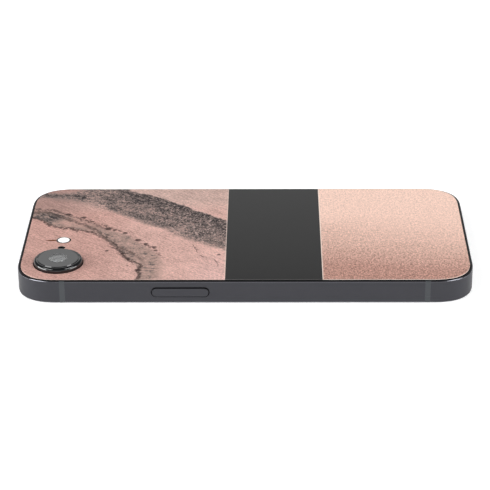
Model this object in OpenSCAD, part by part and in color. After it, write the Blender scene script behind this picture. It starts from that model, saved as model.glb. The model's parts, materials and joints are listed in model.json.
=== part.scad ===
// Slab smartphone lying face down: display at z = 0, back cover and camera upwards.
// X runs from the camera end (-X) to the charging port (+X), Y from the side button (-Y)
// to the volume buttons (+Y). The origin is the centre of the footprint on the display face.

/* [Body] */
// Length of the body, from the camera end to the port end
body_l = 146.7; // [122:0.1:178]
// Width of the body, without the buttons
body_w = 71.5; // [59.5:0.1:86]
// Thickness of the body, from the display face to the back glass
body_t = 7.8; // [6.5:0.1:9.4]
// Radius of the middle arc of each corner
corner_r = 10.5; // [8.7:0.1:12.6]
// Radius of the easing arcs on both sides of it
ease_r = 18; // [15:0.1:21.6]
// Rounding along the outer edges of the frame
edge_r = 0.35; // [0.2:0.05:0.45]

/* [Frame] */
// Thickness of the frame, from its outer face to the inner cavity
wall_t = 2.6; // [2.2:0.05:3.2]
// Width of the rim that stands beside each glass
rim_t = 0.67; // [0.55:0.01:0.8]
// How far each glass stands proud of the rim
rim_drop = 0.12; // [0.05:0.01:0.2]
// Thickness of the plate across the middle of the frame
plate_t = 0.6; // [0.4:0.05:0.8]
// Width of the plastic breaks in the frame
break_w = 1.7; // [1:0.1:2.5]
// Distance from each end of the body to the breaks on the long sides
break_from_end = 15.25; // [13:0.1:19]
// Distance from the corner arcs to the breaks on the short ends
break_from_arc = 1.45; // [0.8:0.05:3]

/* [Display] */
// Thickness of the display glass
display_glass_t = 0.6; // [0.5:0.05:0.75]
// Thickness of the light-emitting panel
panel_t = 0.45; // [0.3:0.05:0.6]
// Distance from the outside of the body to the lit area
bezel = 3.45; // [3:0.05:4.2]
// Width of the sensor notch in the lit area
notch_w = 26.8; // [25.5:0.1:30]
// Depth of the sensor notch
notch_d = 5.2; // [4.8:0.1:6.2]

/* [Back] */
// Thickness of the back glass
back_glass_t = 0.6; // [0.45:0.05:0.75]
// Thickness of the decorative film
skin_t = 0.14; // [0.1:0.01:0.16]
// Distance from the outside of the body to the edge of the film
skin_inset = 1; // [0.9:0.05:1.3]
// Distance from the camera end to the first joint in the film
band_from_top = 67.1; // [60:0.1:80]
// Width of the plain middle panel of the film
band_w = 31; // [20:0.1:37]

/* [Rear camera] */
// Distance from the camera end to the lens axis
camera_from_top = 13; // [12:0.05:15.4]
// Distance from the side-button face to the lens axis
camera_from_side = 13.05; // [12.6:0.05:16.5]
// Radius of the raised ring
ring_r = 7.9; // [7.6:0.05:8.4]
// Height of the lens window above the back glass
camera_h = 1.85; // [1.5:0.05:2.2]
// Radius of the lens window
window_r = 6.75; // [6.3:0.05:6.8]
// Distance from the lens axis to the microphone hole
mic_pitch = 11.2; // [10.3:0.05:12.3]
// Distance from the lens axis to the flash
flash_pitch = 16.8; // [15.9:0.05:18.5]
// Radius of the flash lens
flash_r = 1.95; // [1.8:0.05:2.35]
// How far the flash is to the side of the lens axis, towards the charging port
flash_shift = 0.2; // [0:0.05:0.6]

/* [Buttons] */
// Length of the side button
side_button_l = 18; // [14:0.1:21.6]
// Distance from the camera end to the middle of the side button
side_button_from_top = 52.85; // [44:0.1:64]
// Length of a volume button
volume_button_l = 9.6; // [8:0.1:11.6]
// Distance from the camera end to the middle of the volume-up button
volume_up_from_top = 41.3; // [39:0.1:44]
// Distance between the middles of the volume buttons
volume_pitch = 12.6; // [12.3:0.1:15.2]
// Length of the action button
action_button_l = 6.2; // [5.2:0.1:7.5]
// Distance from the camera end to the middle of the action button
action_from_top = 26.6; // [24:0.1:29]
// Height of every button
button_h = 2.8; // [2.3:0.05:3]
// Gap around every button
button_gap = 0.34; // [0.1:0.01:0.4]
// How far every button stands out of the frame
button_proud = 0.35; // [0.2:0.05:0.5]
// Travel of every button
button_travel = 0.3; // [0.2:0.01:0.35]

/* [Card tray] */
// Distance from the camera end to the middle of the card tray
tray_from_top = 78.4; // [75:0.1:84]
// Length of the tray's face
tray_face_l = 14.4; // [14.2:0.1:16]
// Height of the tray's face
tray_face_h = 2.3; // [2.1:0.05:2.7]
// Depth of the carrier behind the face
carrier_d = 16; // [14.6:0.1:18]
// Radius of the hole for the eject pin
eject_r = 0.45; // [0.35:0.01:0.5]

/* [Charging port] */
// Width of the plug opening
port_w = 8.34; // [8.2:0.01:8.6]
// Height of the plug opening
port_h = 2.56; // [2.4:0.01:2.7]
// Depth of the plug opening
port_d = 6.2; // [5.6:0.1:6.8]
// Wall of the port's shell
port_wall = 0.3; // [0.2:0.01:0.35]
// Distance from the middle of the port to each bottom screw
screw_pitch = 7.6; // [7:0.1:8.4]
// Radius of the holes in front of the loudspeaker and the microphone
vent_r = 0.75; // [0.5:0.05:0.9]
// Distance between those holes
vent_pitch = 2.4; // [2:0.1:2.6]

/* [Inside] */
// Length and width of the rear camera module
camera_w = 14.6; // [13:0.1:15]
// Width of the logic board
board_w = 18.4; // [17.6:0.1:20]
// Thickness of the logic board
board_t = 0.6; // [0.5:0.05:0.8]
// Length of the space for the haptic motor, port and loudspeaker
bottom_zone = 23; // [21.5:0.1:26]
// Outer radius of the wireless charging coil
coil_r = 22; // [18:0.1:24]
// Gap between neighbouring modules
fit_gap = 0.15; // [0.1:0.01:0.2]
// Play around the parts that slide
slide_gap = 0.06; // [0.04:0.01:0.08]

/* [Hidden] */
$fn = 72;

// Colours
band_grey = [0.30, 0.30, 0.32];
break_grey = [0.36, 0.37, 0.39];
ink_black = [0.03, 0.03, 0.035];
rose = [0.86, 0.68, 0.62];
film_grey = [0.26, 0.26, 0.26];
steel = [0.72, 0.72, 0.74];
board_green = [0.08, 0.16, 0.12];
copper = [0.80, 0.48, 0.28];
flex_brown = [0.32, 0.17, 0.07];

// The body's half sizes and middle height
half_l = body_l / 2;
half_w = body_w / 2;
mid_z = body_t / 2;
over = 1;

// Layers from the display face upwards
glass_gap = 0.08;
glass_inset = rim_t + glass_gap;
mask_t = 0.05;
shield_t = 0.15;
gasket_t = 0.2;
mask_z = display_glass_t;
panel_z = mask_z + mask_t;
shield_z = panel_z + panel_t;
gasket_z = shield_z + shield_t;
plate_z = gasket_z + gasket_t;
cavity_z0 = plate_z + plate_t;

// Layers from the back face downwards
back_plate_t = 0.2;
coil_t = 0.45;
ferrite_t = 0.3;
back_glass_z = body_t - back_glass_t;
back_plate_z = back_glass_z - back_plate_t;
back_ledge_z = back_plate_z - gasket_t;
coil_z = back_glass_z - coil_t;
ferrite_z = coil_z - ferrite_t;
inner_z1 = ferrite_z - fit_gap;

// Rings that seal and carry the two glasses
gasket_out = glass_inset + 0.25;
gasket_in = wall_t - 0.2;

// Corner arcs of the outline, for the corner in +X +Y: the angle's sine is 0.28 and its
// cosine is 0.96, so the arcs meet exactly
ease_deg = atan(7 / 24);
ease_step = ease_r - corner_r;
ease_shift = ease_step * (cos(ease_deg) - sin(ease_deg));
arc_1 = [half_l - ease_r, half_w - ease_r + ease_shift];
arc_2 = arc_1 + ease_step * [cos(ease_deg), sin(ease_deg)];
arc_3 = [half_l - ease_r + ease_shift, half_w - ease_r];
ARCS = [
    [arc_1, ease_r, 0, ease_deg],
    [arc_2, corner_r, ease_deg, 90 - ease_deg],
    [arc_3, ease_r, 90 - ease_deg, 90]
];
// How far each arc of a sweep runs into the next one, so that they join up
arc_lap = 0.0001;

// The cavity inside the frame
cavity_x = half_l - wall_t;

// Buttons: depths are measured from the outer face of the frame inwards
pocket_d = 1.5;
cap_d = pocket_d - button_travel - fit_gap;
plunger_r = 0.6;
plunger_d = wall_t + 0.15;
guide_r = 0.5;
guide_inset = 2.3;
dome_d = plunger_d + button_travel + 0.03;
dome_t = 0.35;
switch_t = 0.5;
switch_d = dome_d + dome_t + switch_t;
seal_r = plunger_r + 0.5;
seal_d = 0.4;
side_button_x = -half_l + side_button_from_top;
volume_up_x = -half_l + volume_up_from_top;
volume_down_x = volume_up_x + volume_pitch;
action_x = -half_l + action_from_top;
module_y = half_w - switch_d - fit_gap;

// Card tray and its reader
tray_x = -half_l + tray_from_top;
face_d = 1.3;
carrier_t = 1.1;
carrier_w = 11.4;
carrier_shift = 0.75;
eject_shift = 6;
card_w = 8.9;
card_d = 12.4;
tray_slot_gap = 0.1;
carrier_gap = 0.15;
reader_t = 0.2;
reader_w = carrier_w + 2 * (carrier_gap + 0.5);
reader_d0 = wall_t + fit_gap;
reader_d1 = face_d + carrier_d + 0.6;
reader_h = carrier_t + 2 * (carrier_gap + reader_t);

// Rear camera, microphone and flash
camera_x = -half_l + camera_from_top;
camera_y = -half_w + camera_from_side;
mic_y = camera_y + mic_pitch;
flash_x = camera_x + flash_shift;
flash_y = camera_y + flash_pitch;
neck_r = ring_r - 0.5;
glass_hole_r = neck_r + 0.1;
window_t = 0.6;
window_z = body_t + camera_h - window_t;
ring_bore_r = window_r - 1.1;
ring_seat_r = window_r + 0.05;
ring_fillet = 0.9;
ring_top = body_t + camera_h - 0.15;
barrel_r = 4.3;
barrel_z0 = cavity_z0 + 1.6;
focus_travel = 0.3;
barrel_z1 = window_z - focus_travel - 0.2;
lens_r = 2.7;
lens_t = 0.5;
housing_z0 = cavity_z0 + 0.1;
housing_z1 = back_plate_z - fit_gap;
mic_hole_r = 0.5;
flash_hole_r = flash_r + 0.1;
skin_ring_r = ring_r + 0.25;
skin_flash_r = flash_r + 0.5;
skin_mic_r = 1.25;
flash_module_w = 6.4;
flash_board_z = back_plate_z - 1.4;
flash_lens_z = back_plate_z + 0.05;

// Front sensors behind the notch, lined up from the rear camera towards the volume side
sensor_zone = 8.2;
sensor_w = 5.4;
sensor_d = 5.6;
receiver_w = 7.6;
sensor_gap = 0.3;
sensors_w = 3 * sensor_w + receiver_w + 3 * sensor_gap;
sensors_y0 = max(-sensors_w / 2, camera_y + camera_w / 2 + sensor_gap);
notch_y = sensors_y0 + sensors_w / 2;
sensor_x0 = -cavity_x + fit_gap;
sensor_x = sensor_x0 + sensor_d / 2;
dot_y = sensors_y0 + sensor_w / 2;
infrared_y = dot_y + sensor_w + sensor_gap;
receiver_y = infrared_y + sensor_w / 2 + sensor_gap + receiver_w / 2;
front_camera_y = receiver_y + receiver_w / 2 + sensor_gap + sensor_w / 2;
sensor_z0 = gasket_z + 0.15;
sensor_z1 = back_plate_z - 2.1;
front_barrel_r = 1.9;
front_barrel_z0 = panel_z + 0.15;
front_barrel_h = 2;
front_focus_travel = 0.15;
sensor_window_w = sensors_w + 2 * fit_gap;
ear_slot_w = 11;
ear_slot_d = 0.8;

// Boards and battery
board_z = cavity_z0 + 0.35;
board_y1 = module_y;
board_y0 = board_y1 - board_w;
board_x0 = -cavity_x + sensor_zone;
bottom_x = cavity_x - bottom_zone;
battery_x0 = camera_x + camera_w / 2 + 3.6;
battery_x1 = bottom_x - 0.8;
battery_y0 = -module_y;
battery_y1 = board_y0 - 0.6;
battery_z0 = cavity_z0 + fit_gap;
reader_cut_x0 = tray_x - carrier_shift - reader_w / 2 - 0.4;
reader_cut_x1 = tray_x - carrier_shift + reader_w / 2 + 0.4;
reader_cut_y = half_w - reader_d1 - 0.4;
board_x1 = max(battery_x1 - 16, reader_cut_x1 + 8);
stack_x0 = battery_x0 + 0.4;
stack_x1 = reader_cut_x0 - 2;
stack_y0 = board_y0 + 0.6;
stack_y1 = board_y1 - 0.6;
interposer_h = 1;
upper_z = board_z + board_t + interposer_h;
screw_r = 0.6;
screw_hole_r = screw_r + slide_gap;
head_r = 1.1;
head_h = 0.4;
boss_r = 1.3;
BOARD_SCREWS = [
    [board_x0 + 2, board_y0 + 6.2],
    [board_x0 + 10.4, board_y1 - 1.8],
    [reader_cut_x1 + 1.9, board_y1 - 1.8],
    [stack_x1 + 1.3, board_y0 + 1.6]
];

// Modules at the port end
haptic_x0 = bottom_x + 0.4;
haptic_w = 10.5;
haptic_y0 = -module_y;
haptic_y1 = -8.2;
haptic_t = 0.25;
haptic_travel = 0.6;
haptic_z0 = cavity_z0 + fit_gap;
haptic_z1 = haptic_z0 + 3.2;
nut_r = 1.35;
nut_l = 1.6;
speaker_y0 = screw_pitch + nut_r + 0.3;
speaker_x0 = board_x1 + 0.8;
speaker_x1 = cavity_x - 0.75;
speaker_z0 = cavity_z0 + fit_gap;
speaker_z1 = inner_z1 - 0.3;
speaker_wall = 0.5;
cone_w = 10;
cone_l = 15;
cone_x = bottom_x + 11.6;
cone_y = (speaker_y0 + module_y) / 2;
cone_z = speaker_z1 - speaker_wall - 0.35;
shell_w = port_w + 2 * port_wall;
shell_h = port_h + 2 * port_wall;
shell_x1 = half_l - 0.15;
base_d = 1.5;
shell_x0 = shell_x1 - port_d - base_d;
tongue_w = 6.69;
tongue_t = 0.7;
tongue_l = 4.8;
contact_n = 12;
contact_pitch = 0.5;
contact_w = 0.25;
contact_t = 0.04;
contact_l = 3.6;
vent_y = 11.3;
vent_n = min(6, 1 + floor((arc_1[1] + 1 - vent_y) / vent_pitch));
end_break_y = arc_1[1] - break_from_arc;
mic_vent_n = min(4, 1 + floor((end_break_y - break_w / 2 - vent_r - 0.4 - vent_y) / vent_pitch));
mesh_t = 0.25;
bottom_screw_r = 0.65;
bottom_head_r = 1.05;
bottom_head_t = 0.7;
bottom_screw_sink = 0.25;
bottom_screw_l = 3.4;
flex_t = 0.12;

// ---- Shapes that repeat ----

function flip_x(p) = [-p[0], p[1]];
function flip_y(p) = [p[0], -p[1]];
function reversed(list) = [for (i = [len(list) - 1 : -1 : 0]) list[i]];
function direction(angle) = [cos(angle), sin(angle)];

// A slice of a circle between two angles, with its point at the circle's centre
module slice(centre, r, from, to) {
    intersection() {
        translate(centre) circle(r);
        polygon([
            centre,
            centre + 2 * r * direction(from),
            centre + 2 * r * direction((from + to) / 2),
            centre + 2 * r * direction(to)
        ]);
    }
}

// The body's outline, moved inwards
module outline(inset) {
    quarter = [
        [half_l - inset, arc_1[1]],
        arc_1,
        arc_2,
        arc_3,
        [arc_3[0], half_w - inset]
    ];
    upper = concat(quarter, reversed([for (p = quarter) flip_x(p)]));
    polygon(concat(upper, reversed([for (p = upper) flip_y(p)])));
    for (sx = [0, 1], sy = [0, 1])
        mirror([sx, 0]) mirror([0, sy])
            for (a = ARCS) slice(a[0], a[1] - inset, a[2], a[3]);
}

module plate(inset, z, t) {
    translate([0, 0, z]) linear_extrude(t) outline(inset);
}

// A flat ring between two insets of the outline
module ring_plate(outer, inner, z, t) {
    translate([0, 0, z]) linear_extrude(t) difference() {
        outline(outer);
        outline(inner);
    }
}

// Sweeps a profile round the outline: its x is the distance outwards from the outer face, its y is z
module sweep() {
    for (side = [0, 1]) {
        mirror([0, side, 0]) translate([0, half_w, 0]) rotate([90, 0, 90])
            linear_extrude(2 * arc_3[0], center = true) children();
        mirror([side, 0, 0]) translate([half_l, 0, 0]) rotate([90, 0, 0])
            linear_extrude(2 * arc_1[1], center = true) children();
    }
    for (sx = [0, 1], sy = [0, 1])
        mirror([sx, 0, 0]) mirror([0, sy, 0])
            for (a = ARCS)
                translate(a[0]) rotate([0, 0, a[2]]) rotate_extrude(angle = a[3] - a[2] + arc_lap)
                    translate([a[1], 0]) children();
}

// Cross-section of the frame, with a step for each glass
module band_profile() {
    z0 = rim_drop;
    z1 = body_t - rim_drop;
    bend = [for (a = [0 : 30 : 90]) edge_r * [sin(a) - 1, cos(a) - 1]];
    polygon(concat(
        [[-wall_t, back_ledge_z], [-rim_t, back_ledge_z], [-rim_t, z1]],
        [for (p = bend) [p[0], z1 + p[1]]],
        reversed([for (p = bend) [p[0], z0 - p[1]]]),
        [[-rim_t, z0], [-rim_t, plate_z], [-wall_t, plate_z]]
    ));
}

// A box given by its two corners
module block(low, high) {
    translate(low) cube(high - low);
}

module rod(r, x, y, z0, z1) {
    translate([x, y, z0]) cylinder(r = r, h = z1 - z0);
}

module pill_2d(l, h) {
    square([l - h, h], center = true);
    for (side = [-1, 1]) translate([side * (l - h) / 2, 0]) circle(h / 2);
}

module rounded_2d(l, w, r) {
    square([l - 2 * r, w], center = true);
    square([l, w - 2 * r], center = true);
    for (sx = [-1, 1], sy = [-1, 1]) translate([sx * (l / 2 - r), sy * (w / 2 - r)]) circle(r);
}

// A pill-shaped prism that runs into the frame, between two depths
module pill(l, h, d0, d1) {
    translate([0, d0, 0]) rotate([-90, 0, 0]) linear_extrude(d1 - d0) pill_2d(l, h);
}

// A round rod that runs into the frame, between two depths
module pin(r, x, d0, d1) {
    translate([x, d0, 0]) rotate([-90, 0, 0]) cylinder(r = r, h = d1 - d0);
}

// Places children on a long side, with their Y running into the frame
module on_side_button_face(x) {
    translate([x, -half_w, mid_z]) children();
}

module on_volume_face(x) {
    translate([x, half_w, mid_z]) mirror([0, 1, 0]) children();
}

// Places children on the port end, with their Y running into the frame
module on_port_face(y) {
    translate([half_l, y, mid_z]) rotate([0, 0, 90]) children();
}

// The part of a flat shape that is inside the frame
module within_cavity(z, t) {
    translate([0, 0, z]) linear_extrude(t) intersection() {
        children();
        outline(wall_t + fit_gap);
    }
}

module rectangle(x0, x1, y0, y1) {
    translate([x0, y0]) square([x1 - x0, y1 - y0]);
}

// The sensor notch, grown by a margin on its three free sides
module notch_2d(margin) {
    w = notch_w + 2 * margin;
    d = bezel + notch_d + margin;
    translate([-half_l + d / 2, notch_y]) rounded_2d(d, w, 2);
    translate([-half_l, notch_y - w / 2]) square([d / 2, w]);
}

// ---- Frame ----

module break_slots(extra) {
    for (side = [0, 1], x = [-1, 1] * (half_l - break_from_end))
        mirror([0, side, 0]) translate([x, half_w, 0]) rotate([90, 0, 90])
            linear_extrude(break_w, center = true) children();
    translate([half_l, -end_break_y, 0]) rotate([90, 0, 0])
        linear_extrude(break_w, center = true) children();
    mirror([1, 0, 0]) translate([half_l, end_break_y, 0]) rotate([90, 0, 0])
        linear_extrude(break_w, center = true) children();
}

// Pocket, plunger hole, seal seat and guide holes of one button
module button_cut(l) {
    pill(l + 2 * button_gap, button_h + 2 * button_gap, -over, pocket_d);
    pin(plunger_r + slide_gap, 0, pocket_d - over, wall_t + over);
    pin(seal_r, 0, pocket_d - over, pocket_d + seal_d);
    if (l > 4 * guide_inset)
        for (side = [-1, 1])
            pin(guide_r + slide_gap, side * (l / 2 - guide_inset), pocket_d - over, wall_t + over);
}

module tray_cut() {
    pill(tray_face_l + 2 * tray_slot_gap, tray_face_h + 2 * tray_slot_gap, -over, pocket_d);
    w = carrier_w + 2 * carrier_gap;
    h = carrier_t + 2 * carrier_gap;
    block(
        [-carrier_shift - w / 2, pocket_d - over, -h / 2],
        [-carrier_shift + w / 2, wall_t + over, h / 2]
    );
    pin(eject_r, eject_shift, pocket_d - over, wall_t + over);
}

module port_cut() {
    on_port_face(0) pill(shell_w + 2 * glass_gap, shell_h + 2 * glass_gap, -over, wall_t + over);
    for (side = [-1, 1]) on_port_face(side * screw_pitch) {
        pin(bottom_head_r + glass_gap, 0, -over, bottom_screw_sink + bottom_head_t);
        pin(bottom_screw_r + slide_gap, 0, 0, wall_t + over);
    }
    for (i = [0 : vent_n - 1]) on_port_face(vent_y + i * vent_pitch) pin(vent_r, 0, -over, wall_t + over);
    for (i = [0 : mic_vent_n - 1])
        on_port_face(-vent_y - i * vent_pitch) pin(vent_r, 0, -over, wall_t + over);
}

module frame_band() {
    color(band_grey) difference() {
        sweep() band_profile();
        break_slots() translate([-wall_t - over, 0]) square([wall_t + 2 * over, body_t]);
        on_side_button_face(side_button_x) button_cut(side_button_l);
        on_volume_face(volume_up_x) button_cut(volume_button_l);
        on_volume_face(volume_down_x) button_cut(volume_button_l);
        on_volume_face(action_x) button_cut(action_button_l);
        on_volume_face(tray_x) tray_cut();
        port_cut();
    }
}

module antenna_breaks() {
    color(break_grey) break_slots() band_profile();
}

module mid_plate() {
    color(steel) {
        difference() {
            union() {
                plate(wall_t, plate_z, plate_t);
                for (p = BOARD_SCREWS) rod(boss_r, p[0], p[1], plate_z, board_z);
            }
            block(
                [sensor_x0 - fit_gap / 2, notch_y - sensor_window_w / 2, plate_z - over],
                [sensor_x0 + sensor_d + fit_gap, notch_y + sensor_window_w / 2, cavity_z0 + over]
            );
            block(
                [shell_x0 - 0.4, -shell_w / 2 - 0.4, plate_z - over],
                [cavity_x - 0.4, shell_w / 2 + 0.4, cavity_z0 + over]
            );
            block(
                [board_x0 - 3.4, board_y1 - 9.4, plate_z - over],
                [board_x0 - 1.8, board_y1 - 2.4, cavity_z0 + over]
            );
            for (p = BOARD_SCREWS) rod(screw_hole_r, p[0], p[1], plate_z + 0.15, board_z + over);
        }
    }
}

// ---- Display ----

module ear_slot_2d(margin) {
    translate([-half_l + glass_inset - over, notch_y - ear_slot_w / 2 - margin])
        square([ear_slot_d + over + margin, ear_slot_w + 2 * margin]);
}

module display_glass() {
    color([0.05, 0.05, 0.06, 0.6]) linear_extrude(display_glass_t) difference() {
        outline(glass_inset);
        ear_slot_2d(0);
    }
}

module display_mask() {
    color(ink_black) translate([0, 0, mask_z]) linear_extrude(mask_t) difference() {
        outline(glass_inset + 0.1);
        ear_slot_2d(0.1);
        difference() {
            outline(bezel);
            notch_2d(0);
        }
        translate([sensor_x, front_camera_y]) circle(front_barrel_r - 0.5);
    }
}

module oled_panel() {
    color([0.02, 0.02, 0.03]) translate([0, 0, panel_z]) linear_extrude(panel_t) difference() {
        outline(bezel - 0.25);
        notch_2d(-0.25);
    }
}

module display_shield() {
    color(steel) translate([0, 0, shield_z]) linear_extrude(shield_t) difference() {
        outline(bezel + 0.4);
        notch_2d(0.4);
    }
}

module display_carrier() {
    color([0.08, 0.08, 0.08]) translate([0, 0, panel_z]) linear_extrude(gasket_z - panel_z) difference() {
        outline(glass_inset + 0.35);
        outline(bezel - 0.45);
        translate([-half_l, notch_y - notch_w / 2]) square([bezel + notch_d, notch_w]);
    }
}

module display_gasket() {
    color([0.1, 0.1, 0.1]) ring_plate(gasket_out, gasket_in, gasket_z, gasket_t);
}

module earpiece_mesh() {
    color([0.15, 0.15, 0.16]) {
        x0 = -half_l + glass_inset + glass_gap;
        y1 = ear_slot_w / 2 - glass_gap;
        difference() {
            block([x0, notch_y - y1, 0.1], [x0 + ear_slot_d - 2 * glass_gap, notch_y + y1, 0.4]);
            for (y = [-y1 + 0.5 : 0.5 : y1 - 0.5])
                rod(0.15, x0 + ear_slot_d / 2 - glass_gap, notch_y + y, 0.1 - over, 0.4 + over);
        }
    }
}

// ---- Back ----

module back_glass() {
    color([0.06, 0.06, 0.065]) difference() {
        plate(glass_inset, back_glass_z, back_glass_t);
        rod(glass_hole_r, camera_x, camera_y, back_glass_z - over, body_t + over);
        rod(flash_hole_r, flash_x, flash_y, back_glass_z - over, body_t + over);
        rod(mic_hole_r, camera_x, mic_y, back_glass_z - over, body_t + over);
    }
}

module back_plate() {
    color(steel) difference() {
        plate(glass_inset + 0.2, back_plate_z, back_plate_t);
        rod(neck_r + 0.8, camera_x, camera_y, back_plate_z - over, back_glass_z + over);
        rod(mic_hole_r + 0.8, camera_x, mic_y, back_plate_z - over, back_glass_z + over);
        rod(flash_r + 0.4, flash_x, flash_y, back_plate_z - over, back_glass_z + over);
        rod(coil_r + 1, 0, 0, back_plate_z - over, back_glass_z + over);
    }
}

module back_gasket() {
    color([0.1, 0.1, 0.1]) ring_plate(gasket_out, gasket_in, back_ledge_z, gasket_t);
}

// One panel of the film between two distances from the camera end
module film(from, to) {
    translate([0, 0, body_t]) linear_extrude(skin_t) intersection() {
        outline(skin_inset);
        rectangle(-half_l + from, -half_l + to, -body_w, body_w);
    }
}

module skin_marble() {
    color(rose) difference() {
        film(0, band_from_top);
        rod(skin_ring_r, camera_x, camera_y, body_t - over, body_t + over);
        rod(skin_flash_r, flash_x, flash_y, body_t - over, body_t + over);
        rod(skin_mic_r, camera_x, mic_y, body_t - over, body_t + over);
    }
}

module skin_centre() {
    color(film_grey) film(band_from_top, band_from_top + band_w);
}

module skin_foil() {
    color(rose) film(band_from_top + band_w, body_l);
}

// ---- Rear camera ----

module camera_ring() {
    color([0.1, 0.1, 0.11]) translate([camera_x, camera_y, 0]) rotate_extrude() difference() {
        union() {
            translate([ring_bore_r, back_plate_z]) square([neck_r - ring_bore_r, window_z - back_plate_z]);
            translate([ring_bore_r, body_t])
                square([ring_r - ring_fillet - ring_bore_r, ring_top - body_t]);
            translate([ring_bore_r, body_t])
                square([ring_r - ring_bore_r, ring_top - ring_fillet - body_t]);
            translate([ring_r - ring_fillet, ring_top - ring_fillet]) circle(ring_fillet);
        }
        translate([ring_bore_r - over, window_z]) square([ring_seat_r - ring_bore_r + over, 2 * over]);
    }
}

module camera_window() {
    bevel = 0.25;
    color([0.5, 0.52, 0.52, 0.4]) translate([camera_x, camera_y, window_z]) {
        cylinder(r = window_r, h = window_t - bevel);
        translate([0, 0, window_t - bevel]) cylinder(r1 = window_r, r2 = window_r - bevel, h = bevel);
    }
}

module camera_housing() {
    color([0.45, 0.45, 0.47]) difference() {
        translate([camera_x, camera_y, housing_z0]) linear_extrude(housing_z1 - housing_z0)
            rounded_2d(camera_w, camera_w, 1.2);
        rod(barrel_r + slide_gap, camera_x, camera_y, barrel_z0 - 0.2, housing_z1 + over);
        translate([camera_x, camera_y, housing_z0 + 0.2]) linear_extrude(0.9)
            square([11.4, 9.4], center = true);
        rod(3, camera_x, camera_y, housing_z0 + 1, barrel_z0);
    }
}

module camera_barrel() {
    color([0.06, 0.06, 0.06]) difference() {
        rod(barrel_r, camera_x, camera_y, barrel_z0, barrel_z1);
        rod(lens_r + slide_gap, camera_x, camera_y, barrel_z1 - 0.9, barrel_z1 + over);
        rod(1.6, camera_x, camera_y, barrel_z0 - over, barrel_z1);
        translate([camera_x, camera_y, barrel_z1 - 0.3]) cylinder(r1 = lens_r, r2 = lens_r + 0.9, h = 0.35);
    }
}

module camera_lens() {
    dome_r = 6;
    color([0.2, 0.22, 0.3, 0.5]) translate([camera_x, camera_y, barrel_z1 - 0.9]) {
        intersection() {
            cylinder(r = lens_r, h = lens_t + 0.3);
            translate([0, 0, lens_t + 0.3 - dome_r]) sphere(dome_r);
        }
    }
}

module camera_sensor() {
    color([0.12, 0.2, 0.16]) translate([camera_x, camera_y, housing_z0 + 0.25]) {
        linear_extrude(0.4) square([11, 9], center = true);
        translate([0, 0, 0.4]) linear_extrude(0.35) square([8, 6.2], center = true);
    }
}

module flash_lens() {
    groove = 0.12;
    color([0.95, 0.94, 0.9]) translate([flash_x, flash_y, 0]) difference() {
        rotate_extrude() translate([0, flash_lens_z])
            square([flash_r, body_t + skin_t - flash_lens_z]);
        for (r = [0.5, 1.1, 1.7]) translate([0, 0, flash_lens_z - over]) difference() {
            cylinder(r = r + groove, h = over + groove);
            translate([0, 0, -over]) cylinder(r = r - groove, h = 4 * over);
        }
    }
}

module flash_board() {
    color([0.85, 0.8, 0.5]) {
        translate([flash_x, flash_y, flash_board_z]) linear_extrude(0.5)
            rounded_2d(flash_module_w, flash_module_w, 0.6);
        translate([flash_x, flash_y, flash_board_z + 0.5]) linear_extrude(0.75)
            square([2.6, 2.6], center = true);
    }
}

module rear_microphone() {
    color([0.7, 0.65, 0.4]) {
        translate([camera_x, mic_y, flash_board_z]) difference() {
            union() {
                linear_extrude(back_plate_z - 0.05 - flash_board_z) rounded_2d(3.4, 2.2, 0.3);
                cylinder(r = 0.9, h = back_glass_z - flash_board_z);
            }
            translate([0, 0, 0.6]) cylinder(r = 0.4, h = body_t);
        }
    }
}

// ---- Front sensors ----

module sensor_case(y, w, z1) {
    block([sensor_x0, y - w / 2, sensor_z0], [sensor_x0 + sensor_d, y + w / 2, z1]);
}

module front_camera_housing() {
    color([0.4, 0.4, 0.42]) difference() {
        sensor_case(front_camera_y, sensor_w, sensor_z1);
        rod(
            front_barrel_r + slide_gap, sensor_x, front_camera_y,
            sensor_z0 - over, front_barrel_z0 + front_barrel_h + front_focus_travel + 0.1
        );
    }
}

module front_camera_barrel() {
    color([0.05, 0.05, 0.06]) difference() {
        rod(front_barrel_r, sensor_x, front_camera_y, front_barrel_z0, front_barrel_z0 + front_barrel_h);
        translate([sensor_x, front_camera_y, front_barrel_z0 - 0.01])
            cylinder(r1 = front_barrel_r - 0.4, r2 = 0.7, h = 0.5);
    }
}

// A sensor with a round nose that looks through the display glass
module nosed_sensor(y, nose_r) {
    sensor_case(y, sensor_w, sensor_z1);
    rod(nose_r, sensor_x, y, panel_z + 0.1, sensor_z0 + 0.1);
}

module infrared_camera() {
    color([0.2, 0.1, 0.12]) nosed_sensor(infrared_y, 1.6);
}

module dot_projector() {
    color([0.35, 0.35, 0.3]) nosed_sensor(dot_y, 1.3);
}

module sensor_bracket() {
    y0 = dot_y - sensor_w / 2;
    y1 = front_camera_y + sensor_w / 2;
    t = 0.2;
    color(steel) difference() {
        block([sensor_x0, y0, sensor_z1], [sensor_x0 + sensor_d, y1, sensor_z1 + t]);
        for (y = [dot_y, infrared_y, front_camera_y])
            rod(1.5, sensor_x, y, sensor_z1 - over, sensor_z1 + over);
    }
}

module earpiece_speaker() {
    color([0.3, 0.3, 0.3]) difference() {
        sensor_case(receiver_y, receiver_w, sensor_z1);
        block(
            [sensor_x0 + 0.7, receiver_y - receiver_w / 2 + 0.7, sensor_z0 - over],
            [sensor_x0 + sensor_d - 0.7, receiver_y + receiver_w / 2 - 0.7, sensor_z0 + 0.6]
        );
    }
}

// ---- Buttons ----

module button(l) {
    pill(l, button_h, -button_proud, cap_d);
    pin(plunger_r, 0, cap_d - 0.2, plunger_d);
    if (l > 4 * guide_inset)
        for (side = [-1, 1])
            pin(guide_r, side * (l / 2 - guide_inset), cap_d - 0.2, wall_t - button_travel - 0.1);
}

module side_button() {
    color(band_grey) on_side_button_face(side_button_x) button(side_button_l);
}

module volume_up_button() {
    color(band_grey) on_volume_face(volume_up_x) button(volume_button_l);
}

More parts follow.
